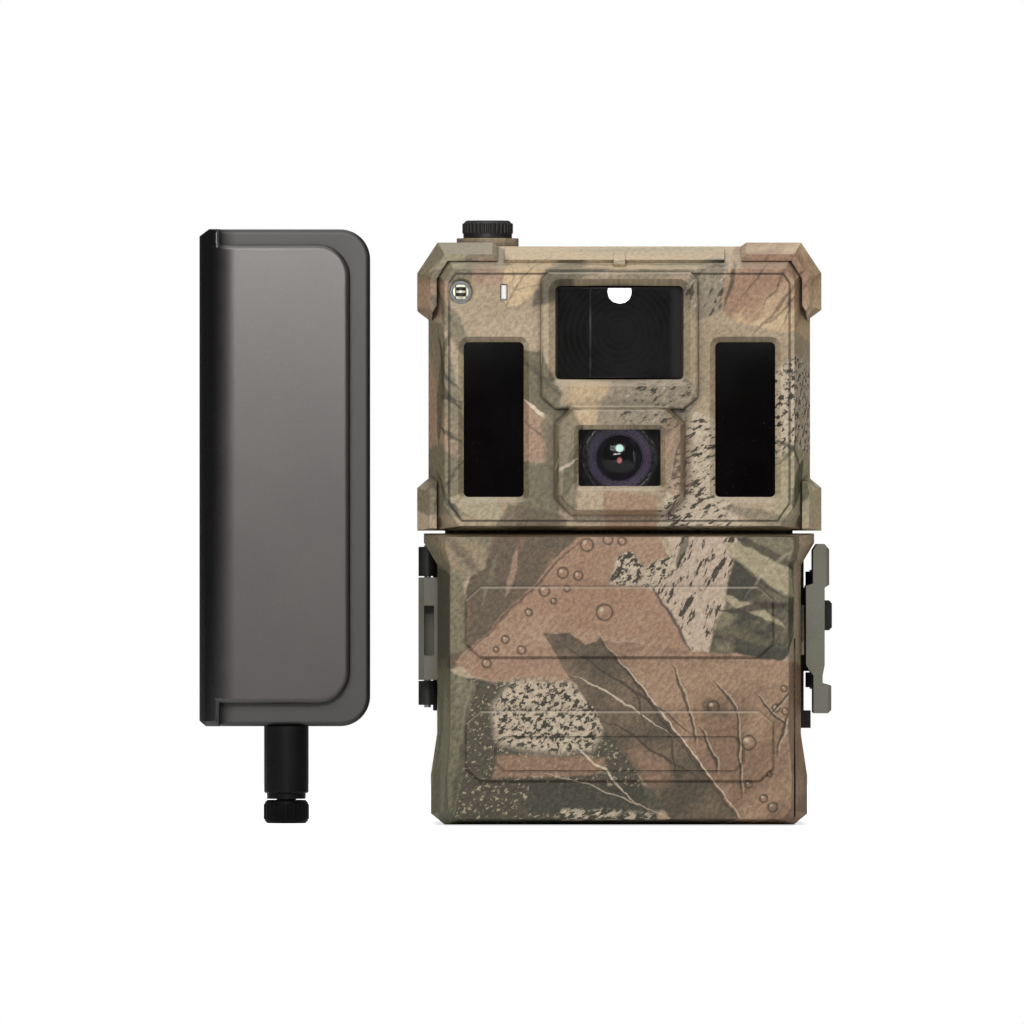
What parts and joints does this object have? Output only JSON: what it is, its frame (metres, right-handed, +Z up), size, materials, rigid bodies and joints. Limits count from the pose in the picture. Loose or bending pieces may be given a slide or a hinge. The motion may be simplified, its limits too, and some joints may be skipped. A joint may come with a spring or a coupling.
{
  "type": "trail camera",
  "caption": "Camouflaged box trail camera with hinged door, side latch, battery drawer and a detached paddle antenna standing beside it.",
  "frame": {"origin": "mouth of the tripod socket, in the camera's base", "axes": "+Z up, -Y the way the lens looks, +X to the right of a viewer who faces the lens"},
  "size_m": [0.1528, 0.0801, 0.146],
  "materials": {
    "camo_shell": "printed camouflage, satin",
    "black_plastic": "fine moulded texture",
    "antenna_plastic": "fine spark-eroded texture",
    "olive_plastic": "satin",
    "seal_rubber": "matte",
    "infrared_black": "gloss",
    "fresnel_black": "gloss, fine vertical ribs",
    "clear_glass": "clear, coated",
    "dark_glass": "coated",
    "lens_black": "anodised look",
    "sensor_metal": "satin",
    "circuit_board": "solder mask",
    "module_metal": "stamped shield",
    "led_clear": "moulded lens",
    "photocell": "bright component under a clear lens",
    "light_pipe": "translucent white",
    "sensor_chip": "package with glass lid",
    "filter_glass": "coated",
    "brass": "gold plated",
    "insert_brass": "machined",
    "steel": "satin",
    "screen_glass": "gloss",
    "lcd_module": "stamped frame",
    "key_rubber": "matte",
    "card_plastic": "satin",
    "sim_plastic": "satin",
    "switch_plastic": "satin",
    "panel_plastic": "fine moulded texture",
    "tray_plastic": "moulded",
    "battery_sleeve": "printed sleeve",
    "contact_steel": "plated"
  },
  "bodies": {
    "housing": {"rear_housing": "camo_shell", "head_front_shell": "camo_shell", "head_gasket": "seal_rubber", "pir_lens": "fresnel_black", "pir_sensor": "sensor_metal", "ir_window_left": "infrared_black", "ir_window_right": "infrared_black", "ir_led_boards": "circuit_board", "ir_leds": "led_clear", "light_sensor": "photocell", "status_light_pipe": "light_pipe", "lens_window": "clear_glass", "lens_holder": "black_plastic", "lens_barrel": "lens_black", "lens_front_element": "dark_glass", "image_sensor": "sensor_chip", "tripod_insert": "insert_brass", "rear_insert": "insert_brass", "shell_screws": "steel", "main_board": "circuit_board", "cellular_module": "module_metal", "antenna_socket": "brass", "socket_nut": "steel", "control_panel": "panel_plastic", "lcd_window": "screen_glass", "lcd_screen": "lcd_module", "sd_socket": "contact_steel", "sim_socket": "contact_steel", "usb_port": "contact_steel", "key_board": "circuit_board", "hinge_brackets": "black_plastic", "hinge_pin": "steel", "latch_bracket": "black_plastic", "latch_pivot_pin": "steel"},
    "filter": {"ir_cut_filter": "filter_glass"},
    "cap": {"dust_cap": "black_plastic"},
    "door": {"front_door": "camo_shell", "door_gasket": "seal_rubber", "hinge_plate": "olive_plastic"},
    "latch": {"latch_lever": "olive_plastic", "claw_pivot_pin": "steel"},
    "claw": {"latch_claw": "black_plastic"},
    "release": {"latch_button": "black_plastic"},
    "ok_key": {"key_ok": "key_rubber"},
    "up_key": {"key_up": "key_rubber"},
    "down_key": {"key_down": "key_rubber"},
    "left_key": {"key_left": "key_rubber"},
    "right_key": {"key_right": "key_rubber"},
    "switch": {"power_switch": "switch_plastic"},
    "memory_card": {"sd_card": "card_plastic"},
    "network_card": {"sim_card": "sim_plastic"},
    "tray": {"battery_tray": "tray_plastic", "battery_cells": "battery_sleeve", "battery_contacts": "contact_steel"},
    "antenna": {"antenna_rear_cover": "antenna_plastic", "antenna_front_cover": "antenna_plastic", "antenna_board": "circuit_board", "antenna_barrel": "antenna_plastic"},
    "nut": {"antenna_nut": "black_plastic"}
  },
  "joints": [
    {"name": "filter_slide", "type": "slide", "parent": "housing", "child": "filter", "axis": [1, 0, 0], "range_m": [0, 0.0034]},
    {"name": "dust_cap_lift", "type": "slide", "parent": "housing", "child": "cap", "axis": [0, 0, 1], "range_m": [0, 0.03]},
    {"name": "door_hinge", "type": "hinge", "parent": "housing", "child": "door", "pos_m": [-0.0462, -0.005, 0], "axis": [0, 0, -1], "range_deg": [0, 100]},
    {"name": "latch_hinge", "type": "hinge", "parent": "housing", "child": "latch", "pos_m": [0.047, 0.002, 0], "axis": [0, 0, 1], "range_deg": [0, 80]},
    {"name": "claw_hinge", "type": "hinge", "parent": "latch", "child": "claw", "pos_m": [0.0466, -0.006, 0], "axis": [0, 0, 1], "range_deg": [0, 6]},
    {"name": "release_push", "type": "slide", "parent": "latch", "child": "release", "axis": [-1, 0, 0], "range_m": [0, 0.0009], "stiffness_N_per_m": 300},
    {"name": "ok_key_press", "type": "slide", "parent": "housing", "child": "ok_key", "axis": [0, 1, 0], "range_m": [0, 0.0008], "stiffness_N_per_m": 300},
    {"name": "up_key_press", "type": "slide", "parent": "housing", "child": "up_key", "axis": [0, 1, 0], "range_m": [0, 0.0008], "stiffness_N_per_m": 300},
    {"name": "down_key_press", "type": "slide", "parent": "housing", "child": "down_key", "axis": [0, 1, 0], "range_m": [0, 0.0008], "stiffness_N_per_m": 300},
    {"name": "left_key_press", "type": "slide", "parent": "housing", "child": "left_key", "axis": [0, 1, 0], "range_m": [0, 0.0008], "stiffness_N_per_m": 300},
    {"name": "right_key_press", "type": "slide", "parent": "housing", "child": "right_key", "axis": [0, 1, 0], "range_m": [0, 0.0008], "stiffness_N_per_m": 300},
    {"name": "switch_slide", "type": "slide", "parent": "housing", "child": "switch", "axis": [1, 0, 0], "range_m": [0, 0.0084]},
    {"name": "memory_card_slide", "type": "slide", "parent": "housing", "child": "memory_card", "axis": [0, -1, 0], "range_m": [0, 0.0135]},
    {"name": "network_card_slide", "type": "slide", "parent": "housing", "child": "network_card", "axis": [0, -1, 0], "range_m": [0, 0.01]},
    {"name": "tray_slide", "type": "slide", "parent": "housing", "child": "tray", "axis": [0, 0, -1], "range_m": [0, 0.06]},
    {"name": "antenna_lift", "type": "slide", "parent": "housing", "child": "antenna", "axis": [0, 0, 1], "range_m": [0, 0.15]},
    {"name": "nut_spin", "type": "hinge", "parent": "antenna", "child": "nut", "pos_m": [-0.0805, 0.0084, 0], "axis": [0, 0, 1], "continuous": true}
  ]
}
